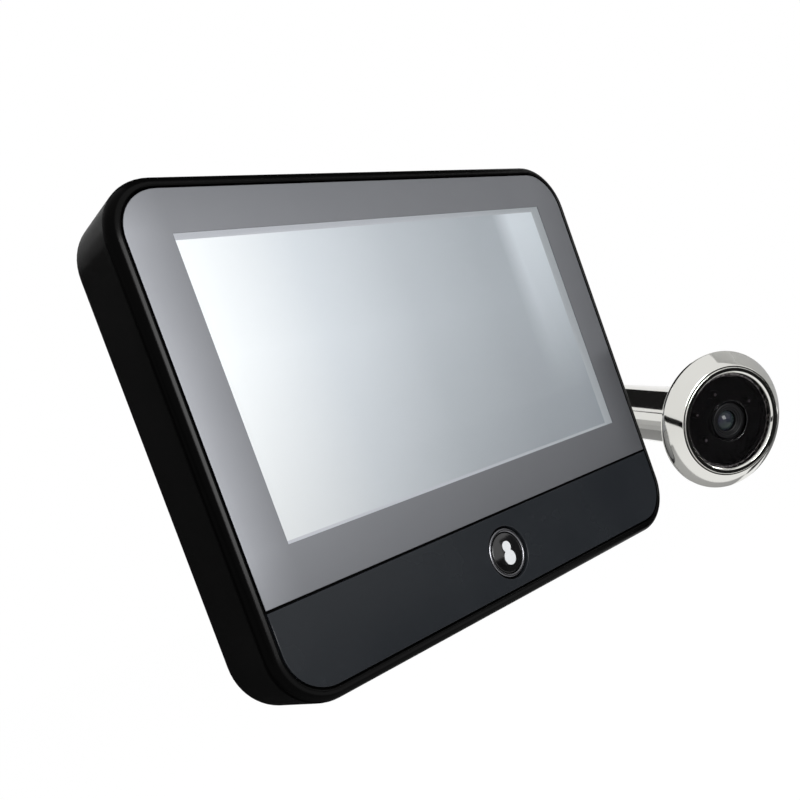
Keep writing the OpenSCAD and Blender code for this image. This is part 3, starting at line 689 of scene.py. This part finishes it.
def makeGlass():
    glass = {"inset": 0.1, "front": 0.17}
    low = monitor["seamZ"] + monitor["seamGap"] / 2 + glass["inset"]
    bm = bmesh.new()
    flatOutline(
        bm, monitor["panelWidth"] - 2 * glass["inset"], low, monitor["panelTop"] - glass["inset"],
        monitor["glassY"] + glass["front"], monitor["panelCorner"] - glass["inset"], "high",
    )
    deepen(bm, monitor["glassBackY"] - monitor["glassY"] - glass["front"])
    finishPiece(bm, "screenGlass", "monitor", "smoked_glass", look="clear")


def makeFascia():
    fascia = {"edge": 0.14, "holeRadius": 5.6}
    hole = Matrix.Translation((0, monitor["glassY"], monitor["buttonZ"])) @ upright
    bm = bmesh.new()
    flatOutline(
        bm, monitor["panelWidth"], -monitor["panelTop"], monitor["seamZ"] - monitor["seamGap"] / 2,
        monitor["glassY"], monitor["panelCorner"], "low",
    )
    bmesh.ops.create_circle(bm, segments=96, radius=fascia["holeRadius"], matrix=hole)
    bmesh.ops.delete(bm, geom=list(bm.faces), context="FACES_ONLY")
    outlines = list(bm.edges)
    bmesh.ops.triangle_fill(bm, use_beauty=True, use_dissolve=False, edges=outlines, normal=(0, -1, 0))
    deepen(bm, monitor["glassBackY"] - monitor["glassY"])
    softenEdges(bm, edgesAt(bm, monitor["glassY"]), fascia["edge"])
    evenNormals(finishPiece(bm, "lowerFascia", "monitor", "fascia", ("lower_fascia",)))


makeBorder()
makeGlass()
makeFascia()
print("glass and fascia done")


# Call button: polished ring, black cap and pale symbol; heights are from the front of the glass

def makeRing():
    ring = {
        "inner": 4.4, "innerRound": 0.3, "outer": 5.2, "outerRound": 0.35, "top": -0.3,
        "foot": 6.45, "footTop": -2.8, "low": -3.5,
    }
    bm = spunProfile([
        (ring["inner"], ring["low"], 0),
        (ring["inner"], ring["top"], ring["innerRound"]),
        (ring["outer"], ring["top"], ring["outerRound"]),
        (ring["outer"], ring["footTop"], 0),
        (ring["foot"], ring["footTop"], 0),
        (ring["foot"], ring["low"], 0),
    ])
    finishPiece(bm, "buttonRing", "monitor", "chrome", ("button_ring",), buttonAxes, look="dark_chrome")


def makeCap():
    cap = {
        "radius": 4.2, "edge": 0.12, "top": -0.1, "dome": 0.36, "domeRadii": (0, 0.8, 1.6, 2.4, 3.2, 3.8),
        "foot": 5.0, "footTop": -3.7, "low": -4.4,
    }
    dome = [
        (radius, cap["top"] - cap["dome"] * (radius / cap["radius"]) ** 2, 0) for radius in cap["domeRadii"]
    ]
    bm = spunProfile([
        *dome,
        (cap["radius"], cap["top"] - cap["dome"], cap["edge"]),
        (cap["radius"], cap["footTop"], 0),
        (cap["foot"], cap["footTop"], 0),
        (cap["foot"], cap["low"], 0),
        (0, cap["low"], 0),
    ], closed=False)
    finishPiece(bm, "buttonCap", "call_button", "gloss_black", ("button_cap",), buttonAxes)


def makeSymbol():
    symbol = {"up": 0.03}  # a hair proud of its solid
    bm = mergedSolid("button_icon")
    joinFlats(bm)
    bmesh.ops.translate(bm, vec=(0, -symbol["up"] * milli, 0), verts=bm.verts)
    bmesh.ops.scale(bm, vec=(metre, metre, metre), verts=bm.verts)
    finishPiece(bm, "buttonSymbol", "call_button", "pale_inlay", ("button_icon",))


makeRing()
makeCap()
makeSymbol()
print("button done")


# Camera unit, drawn along its own lens axis

def makeFlange():
    flange = {
        "bore": 8.1, "back": -3.5, "taper": 14.8, "taperRound": 0.4,
        "radius": 17.5, "rimBack": -0.8, "rimBackRound": 0.3, "rimFront": 0, "rimFrontRound": 0.18,
        "crown": (15.92, 1.97), "crownRound": 2.25,  # the cone is faintly domed
        "coneTop": 13.9, "top": 3.5, "topRound": 0.12,
        "trimSeat": 13.56, "trimFloor": 2.9, "eyeSeat": 12.56, "eyeFloor": 2.3,
        "well": 11.4, "wellRound": 0.1, "wellFloor": -1.5,
    }
    bm = spunProfile([
        (flange["bore"], flange["back"], 0),
        (flange["taper"], flange["back"], flange["taperRound"]),
        (flange["radius"], flange["rimBack"], flange["rimBackRound"]),
        (flange["radius"], flange["rimFront"], flange["rimFrontRound"]),
        (*flange["crown"], flange["crownRound"]),
        (flange["coneTop"], flange["top"], flange["topRound"]),
        (flange["trimSeat"], flange["top"], 0),
        (flange["trimSeat"], flange["trimFloor"], 0),
        (flange["eyeSeat"], flange["trimFloor"], 0),
        (flange["eyeSeat"], flange["eyeFloor"], 0),
        (flange["well"], flange["eyeFloor"], flange["wellRound"]),
        (flange["well"], flange["wellFloor"], 0),
        (flange["bore"], flange["wellFloor"], 0),
    ], steps=160, arcSteps=12)
    finishPiece(bm, "cameraFlange", "camera_unit", "chrome", ("camera_flange",), cameraAxes)


def makeTrim():
    trim = {
        "inner": 12.0, "outer": 13.5, "top": 3.8, "edge": 0.05, "shoulder": 3.6, "slope": 0.15, "low": 2.9,
        "seat": 12.5, "sill": 3.2,  # over the window's edge
        "lip": 0.1, "lipTop": 3.46, "lipEdge": 0.03, "bevel": 0.44,  # two facets that rise from the sill
    }
    bm = spunProfile([
        (trim["inner"], trim["sill"], 0),
        (trim["inner"] + trim["lip"], trim["lipTop"], trim["lipEdge"]),
        (trim["inner"] + trim["bevel"], trim["top"], trim["edge"]),
        (trim["outer"] - trim["slope"], trim["top"], trim["edge"]),
        (trim["outer"], trim["shoulder"], trim["edge"]),
        (trim["outer"], trim["low"], 0),
        (trim["seat"], trim["low"], 0),
        (trim["seat"], trim["sill"], 0),
    ], steps=160)
    finishPiece(bm, "windowTrim", "camera_unit", "chrome", ("window_trim",), cameraAxes)


def makeEye():
    eye = {"radius": 12.45, "hole": 5.1, "holeRound": 0.22, "front": 3.2, "back": 2.3}
    bm = spunProfile([
        (eye["hole"], eye["back"], 0),
        (eye["hole"], eye["front"], eye["holeRound"]),
        (eye["radius"], eye["front"], 0),
        (eye["radius"], eye["back"], 0),
    ], steps=128)
    finishPiece(
        bm, "cameraWindow", "camera_unit", "gloss_black", ("camera_window",), cameraAxes, look="eye"
    )


def makeLensBarrel():
    lens = {
        "bore": 2.2, "back": -8.0, "backRound": 0.2, "radius": 4.5, "front": 2.6, "frontRound": 0.3,
        "mouth": 3.7, "mouthRound": 0.1,
        "ledges": [(3.45, 2.25), (3.1, 2.25), (2.9, 1.95), (2.66, 1.9)],  # steps down to the glass
        "ledgeRound": 0.05, "seat": 2.66, "seatFloor": 1.0,
    }
    bm = spunProfile([
        (lens["bore"], lens["back"], 0),
        (lens["radius"], lens["back"], lens["backRound"]),
        (lens["radius"], lens["front"], lens["frontRound"]),
        (lens["mouth"], lens["front"], lens["mouthRound"]),
        *((radius, height, lens["ledgeRound"]) for radius, height in lens["ledges"]),
        (lens["seat"], lens["seatFloor"], 0),
        (lens["bore"], lens["seatFloor"], 0),
    ])
    finishPiece(
        bm, "lensBarrel", "camera_unit", "inner_plastic", ("lens_barrel",), cameraAxes, look="lens_black"
    )


def makeLensGlass():
    glass = {"radius": 2.6, "dome": 3.4, "top": 2.4}
    centre = glass["top"] - glass["dome"]
    rim = centre + math.sqrt(glass["dome"] ** 2 - glass["radius"] ** 2)
    bm = bmesh.new()
    bmesh.ops.create_uvsphere(
        bm, u_segments=64, v_segments=48, radius=glass["dome"], matrix=Matrix.Translation((0, 0, centre))
    )
    slicePlane(bm, (0, 0, rim), (0, 0, 1), clear=True)
    finishPiece(bm, "lensGlass", "camera_unit", "lens", ("lens_glass",), cameraAxes)


def makeNightLamps():
    # Dark epoxy bodies, each with a small bright die in a well in its top; spots are (degrees, radius)
    build = {
        "board": 0.3, "brow": 0.1, "browRound": 0.5, "flare": 0.1, "well": 0.3,
        "play": 0.02, "dieCorner": 0.05, "dieRound": 0.12,
    }
    kinds = {
        "ir_lamps": {
            "name": "nightLamp", "spots": [(22, 7.8), (105, 7.8), (202, 7.8)],
            "radius": 1.1, "top": 2.2, "die": 0.42,
        },
        "light_sensor": {
            "name": "lightSensor", "spots": [(153, 9.0)],
            "radius": 0.8, "top": 2.0, "die": 0.3,
        },
    }
    for node, lamp in kinds.items():
        brow = lamp["top"] - build["brow"]
        well = lamp["top"] - build["well"]
        dieLow = well - build["play"]
        dieRadius = lamp["die"] - build["play"]
        bodies = bmesh.new()
        dies = bmesh.new()
        for angle, ring in lamp["spots"]:
            stand = Matrix.Rotation(math.radians(angle), 4, "Z") @ Matrix.Translation((ring, 0, 0))
            body = spunProfile([
                (0, build["board"], 0),
                (lamp["radius"], build["board"], 0),
                (lamp["radius"], brow, build["browRound"]),
                (lamp["die"] + build["flare"], brow, 0),
                (lamp["die"], well, 0),
                (0, well, 0),
            ], closed=False, steps=32)
            die = spunProfile([
                (0, dieLow, 0),
                (dieRadius, dieLow, 0),
                (dieRadius, lamp["top"] - build["dieCorner"], build["dieRound"]),
                (0, lamp["top"], 0),
            ], closed=False, steps=32)
            addTo(bodies, body, stand)
            addTo(dies, die, stand)
        finishPiece(
            bodies, lamp["name"] + "Bodies", "camera_unit", "lamp", (node,), cameraAxes, look="lens_black"
        )
        finishPiece(dies, lamp["name"] + "Dies", "camera_unit", "lamp", (), cameraAxes)


def makeBarrel():
    barrel = {
        "radius": 8.0, "bore": 6.5, "front": -1.5, "frontRound": 0.2,
        "end": -61.5, "endRound": 0.4, "boreRound": 0.25,
        "collar": 9.2, "collarFront": -3.5, "collarBack": -4.5, "collarRound": 0.3, "collarEdge": 0.15,
    }
    groove = {"places": (-55.5, -57.5), "deep": 0.35, "mouthHalf": 0.5, "floorHalf": 0.2, "floorRound": 0.1}
    floor = barrel["radius"] - groove["deep"]
    grooves = []
    for middle in groove["places"]:
        grooves += [
            (barrel["radius"], middle + groove["mouthHalf"], 0),
            (floor, middle + groove["floorHalf"], groove["floorRound"]),
            (floor, middle - groove["floorHalf"], groove["floorRound"]),
            (barrel["radius"], middle - groove["mouthHalf"], 0),
        ]
    bm = spunProfile([
        (barrel["bore"], barrel["front"], 0),
        (barrel["radius"], barrel["front"], barrel["frontRound"]),
        (barrel["radius"], barrel["collarFront"], 0),
        (barrel["collar"], barrel["collarFront"], barrel["collarEdge"]),
        (barrel["collar"], barrel["collarBack"], barrel["collarRound"]),
        (barrel["radius"], barrel["collarBack"], barrel["collarEdge"]),
        *grooves,
        (barrel["radius"], barrel["end"], barrel["endRound"]),
        (barrel["bore"], barrel["end"], barrel["boreRound"]),
    ], steps=128)
    finishPiece(bm, "cameraBarrel", "camera_unit", "chrome", ("camera_barrel",), cameraAxes)


def makeSleeve():
    sleeve = {
        "bore": 5.0, "radius": 6.05, "head": -73.5, "front": -31.5, "frontRound": 0.3, "boreRound": 0.2,
    }
    ridge = {
        "crest": 6.44, "sunk": 0.1, "footHalf": 0.42, "crestHalf": 0.06,
        "pitch": 1.0, "start": 1.6, "plain": 3, "steps": 40,  # plain is the length left without a thread
    }
    tube = spunProfile([
        (sleeve["bore"], sleeve["head"], 0),
        (sleeve["radius"], sleeve["head"], 0),
        (sleeve["radius"], sleeve["front"], sleeve["frontRound"]),
        (sleeve["bore"], sleeve["front"], sleeve["boreRound"]),
    ])
    finishPiece(tube, "sleeveTube", "sleeve", "chrome", (), cameraAxes)
    turns = int((sleeve["front"] - sleeve["head"] - ridge["plain"]) / ridge["pitch"])
    low = sleeve["head"] + ridge["start"]
    foot = sleeve["radius"] - ridge["sunk"]
    corners = [
        (foot, -ridge["footHalf"]), (ridge["crest"], -ridge["crestHalf"]),
        (ridge["crest"], ridge["crestHalf"]), (foot, ridge["footHalf"]),
    ]
    thread = bmesh.new()
    section = [thread.verts.new((radius, 0, low + height)) for radius, height in corners]
    outline = [thread.edges.new(pair) for pair in zip(section, section[1:])]
    bmesh.ops.spin(
        thread, geom=section + outline, cent=(0, 0, 0), axis=(0, 0, 1), angle=2 * math.pi * turns,
        steps=turns * ridge["steps"], dvec=(0, 0, ridge["pitch"] / ridge["steps"]),
    )
    finishPiece(thread, "sleeveThread", "sleeve", "chrome", (), cameraAxes)
    seat = cameraAxes @ Vector((0, 0, sleeve["head"]))
    back = (cameraAxes.to_3x3() @ Vector((0, 0, -1))).normalized()
    solidCopy("clamp_sleeve", "sleeveHead", "chrome", edge=0.15, keep=(seat, back))


makeFlange()
makeTrim()
makeEye()
makeLensBarrel()
makeLensGlass()
makeNightLamps()
makeBarrel()
makeSleeve()
solidCopy("thrust_washer", "thrustWasher", "steel", edge=0.1)
print("camera unit done")


# Solids that stay as they are get their finish by material slot
keptSlots = {
    "steel": ["lcd_tray", "shield_can", "microphone", "tact_switch", "board_screws"],
    "screen_cell": ["lcd_panel"],
    "diffuser": ["backlight"],
    "inner_plastic": ["mid_frame", "power_base", "speaker", "switch_plunger", "lens_holder"],
    "circuit_board": ["main_board", "switch_board", "ir_board", "sensor_board"],
    "chip": ["processor_chip", "memory_chip", "image_sensor"],
    "cream_plastic": ["ribbon_socket"],
    "cell_wrap": ["battery"],
    "foam": ["bracket_pads", "battery_pad", "speaker_gasket", "mic_boot", "flange_gasket"],
}
blackBoards = ["ir_board", "sensor_board"]  # inside the camera unit
for slot, members in keptSlots.items():
    for member in members:
        skins = nodes[member].data.materials
        skins.clear()
        skins.append(finish["black_board" if member in blackBoards else slot])
print("inner solids dressed:", sum(len(members) for members in keptSlots.values()))


# Stage: pale floor, white surround, soft lamps and the camera

stage = {
    "floorZ": -0.34, "floorSize": 4.0, "floorColour": (0.8, 0.8, 0.8, 1),
    "floorShare": 0.93, "floorGlow": 1.04,  # how much of the floor that is seen glows, and how brightly
    "ambient": 0.55, "white": (1, 1, 1, 1),
}


def seenRays(tree):
    path = addNode(tree, "ShaderNodeLightPath")
    first = mathNode(tree, "MAXIMUM", path.outputs["Is Camera Ray"], path.outputs["Is Glossy Ray"])
    return mathNode(tree, "MAXIMUM", first, path.outputs["Is Transmission Ray"])


def makeFloor():
    bm = bmesh.new()
    place = Matrix.Translation((0, 0, stage["floorZ"]))
    bmesh.ops.create_grid(bm, x_segments=8, y_segments=8, size=stage["floorSize"], matrix=place)
    material, tree = bareMaterial("paleFloor")
    paper = addNode(tree, "ShaderNodeBsdfDiffuse", {"Color": stage["floorColour"]})
    glow = addNode(tree, "ShaderNodeEmission", {"Color": stage["white"], "Strength": stage["floorGlow"]})
    share = mathNode(tree, "MULTIPLY", seenRays(tree), stage["floorShare"])
    blend = addNode(tree, "ShaderNodeMixShader", {0: share, 1: paper.outputs[0], 2: glow.outputs[0]})
    addNode(tree, "ShaderNodeOutputMaterial", {"Surface": blend.outputs[0]})
    mesh = meshFrom(bm, "floor")
    mesh.materials.append(material)
    floor = bpy.data.objects.new("floor", mesh)
    scene.collection.objects.link(floor)


def makeWorld():
    world = bpy.data.worlds.new("surround")
    world.use_nodes = True
    scene.world = world
    tree = world.node_tree
    tree.nodes.clear()
    level = rescale(tree, seenRays(tree), 0.0, 1.0, stage["ambient"], 1.0)
    sky = addNode(tree, "ShaderNodeBackground", {"Color": stage["white"], "Strength": level})
    addNode(tree, "ShaderNodeOutputWorld", {"Surface": sky.outputs[0]})


# Only the front lamp shows in mirrors
lamps = {
    "frontLamp": {
        "place": (-0.16, -0.62, 0.10), "aim": (0.0, -0.02, 0.0), "size": (0.32, 0.34), "watts": 5.2,
        "mirrored": True,
    },
    "topLamp": {
        "place": (-0.05, -0.18, 0.62), "aim": (0.02, -0.02, 0.0), "size": (0.6, 0.45), "watts": 4.0,
        "mirrored": False,
    },
    "backLamp": {
        "place": (-0.10, 0.60, 0.25), "aim": (0.02, 0.0, 0.0), "size": (0.6, 0.45), "watts": 4.0,
        "mirrored": False,
    },
}


def makeLamps():
    for name, lamp in lamps.items():
        data = bpy.data.lights.new(name, "AREA")
        data.shape = "RECTANGLE"
        data.size, data.size_y = lamp["size"]
        data.energy = lamp["watts"]
        light = bpy.data.objects.new(name, data)
        light.location = lamp["place"]
        toward = Vector(lamp["aim"]) - Vector(lamp["place"])
        light.rotation_euler = toward.to_track_quat("-Z", "Y").to_euler()
        light.visible_glossy = lamp["mirrored"]
        scene.collection.objects.link(light)


# Cards that only mirrors see: each stands off a spot and looks back at it, and off is its turn and its
# rise from there, in degrees, and its distance in metres
flangeSpot = (0.078, -0.030, -0.028)
tubeSpot = (0.07, -0.015, -0.03)
cards = {
    "backCard": {"spot": flangeSpot, "off": (69.3, 41.2, 0.5), "size": (0.46, 0.20), "tone": 0.01},
    "backStrip": {"spot": flangeSpot, "off": (98, 23, 0.5), "size": (0.16, 0.018), "tone": 0.01},
    "backLevelCard": {"spot": tubeSpot, "off": (92, 3, 0.5), "size": (0.25, 0.085), "tone": 0.43},
    "backMidCard": {"spot": tubeSpot, "off": (92, -9, 0.51), "size": (0.25, 0.13), "tone": 0.38},
    "backLowCard": {"spot": tubeSpot, "off": (62, -17, 0.5), "size": (0.31, 0.185), "tone": 0.21},
    "backLowSoftCard": {"spot": tubeSpot, "off": (65, -32, 0.5), "size": (0.34, 0.08), "tone": 0.6},
    "rightCard": {"spot": flangeSpot, "off": (-8, 14, 0.5), "size": (0.58, 0.42), "tone": 0.34},
    "rightHighCard": {
        "spot": flangeSpot, "off": (-23, 40, 1.0), "size": (0.89, 0.728), "tone": 0.66, "tilt": -15,
    },
    "rightDimCard": {"spot": flangeSpot, "off": (14, -16, 0.45), "size": (0.14, 0.13), "tone": 0.12},
    "rightLowCard": {"spot": flangeSpot, "off": (-11, -36, 0.45), "size": (0.26, 0.42), "tone": 0.03},
    "frontRightCard": {"spot": flangeSpot, "off": (-42, -15, 0.5), "size": (0.29, 0.36), "tone": 0.03},
    "frontCard": {"spot": flangeSpot, "off": (-79, -22.5, 0.45), "size": (0.3, 0.19), "tone": 0.01},
    "leftStrip": {
        "spot": flangeSpot, "off": (-168, 1, 0.5), "size": (0.36, 0.065), "tone": 0.005, "tilt": 38,
    },
    "floorBackCard": {"spot": (-0.1, 0.205, 0), "off": (0, -90, 0.335), "size": (1.0, 0.38), "tone": 0.3},
    "behindCard": {"spot": (-0.245, 0, -0.10), "off": (90, 0, 0.12), "size": (0.31, 0.39), "tone": 0.01},
    "behindSoftCard": {"spot": (-0.245, 0, 0.11), "off": (90, 0, 0.12), "size": (0.31, 0.03), "tone": 0.12},
    "behindPaleCard": {
        "spot": (-0.245, 0, 0.145), "off": (90, 0, 0.12), "size": (0.31, 0.04), "tone": 0.55,
    },
    "flangeShade": {
        "spot": (0.0605, -0.0245, -0.031), "off": (0, 0, 0), "size": (0.011, 0.06), "tone": 0.06,
        "oneSided": True,
    },
    "behindMidCard": {"spot": (-0.03, 0, -0.12), "off": (90, 0, 0.12), "size": (0.12, 0.36), "tone": 0.01},
    "behindTopCard": {"spot": (-0.03, 0, 0.18), "off": (90, 0, 0.12), "size": (0.12, 0.24), "tone": 0.2},
    "overCard": {"spot": (0.065, 0.02, 0), "off": (0, 90, 0.15), "size": (0.22, 0.16), "tone": 0.01},
}


def feltMaterial(name, tone, oneSided):
    material, tree = bareMaterial(name)
    face = addNode(tree, "ShaderNodeBsdfDiffuse", {"Color": (tone, tone, tone, 1)}).outputs[0]
    if oneSided:
        behind = addNode(tree, "ShaderNodeNewGeometry").outputs["Backfacing"]
        clear = addNode(tree, "ShaderNodeBsdfTransparent").outputs[0]
        face = addNode(tree, "ShaderNodeMixShader", {0: behind, 1: face, 2: clear}).outputs[0]
    addNode(tree, "ShaderNodeOutputMaterial", {"Surface": face})
    return material


def makeCards():
    for name, card in cards.items():
        turn, rise = (math.radians(angle) for angle in card["off"][:2])
        ray = Vector((math.cos(rise) * math.cos(turn), math.cos(rise) * math.sin(turn), math.sin(rise)))
        place = (
            Matrix.Translation(Vector(card["spot"]) + ray * card["off"][2])
            @ (-ray).to_track_quat("Z", "Y").to_matrix().to_4x4()
            @ Matrix.Rotation(math.radians(card.get("tilt", 0)), 4, "Z")
            @ Matrix.Diagonal((*card["size"], 1, 1))
        )
        bm = bmesh.new()
        bmesh.ops.create_grid(bm, x_segments=1, y_segments=1, size=0.5, matrix=place)
        mesh = meshFrom(bm, name)
        mesh.materials.append(feltMaterial(name, card["tone"], card.get("oneSided")))
        sheet = bpy.data.objects.new(name, mesh)
        sheet.visible_camera = False
        sheet.visible_diffuse = False
        sheet.visible_shadow = False
        sheet.visible_transmission = False
        scene.collection.objects.link(sheet)


def makeCamera():
    view = {
        "eye": (-0.12303, -0.14269, -0.01660), "toward": (0.65343, 0.75549, -0.04748), "roll": -19.948,
        "lens": 38.03, "sensor": 36, "shift": (-0.0454, 0.1491), "clip": (0.01, 20),
    }
    data = bpy.data.cameras.new("photoView")
    data.sensor_fit = "HORIZONTAL"
    data.sensor_width = view["sensor"]
    data.lens = view["lens"]
    data.shift_x, data.shift_y = view["shift"]
    data.clip_start, data.clip_end = view["clip"]
    eye = bpy.data.objects.new("photoView", data)
    eye.location = view["eye"]
    eye.rotation_mode = "QUATERNION"
    roll = Quaternion((0, 0, 1), math.radians(view["roll"]))
    eye.rotation_quaternion = Vector(view["toward"]).to_track_quat("-Z", "Y") @ roll
    scene.collection.objects.link(eye)
    scene.camera = eye


makeFloor()
makeWorld()
makeLamps()
makeCards()
makeCamera()
print("stage done")
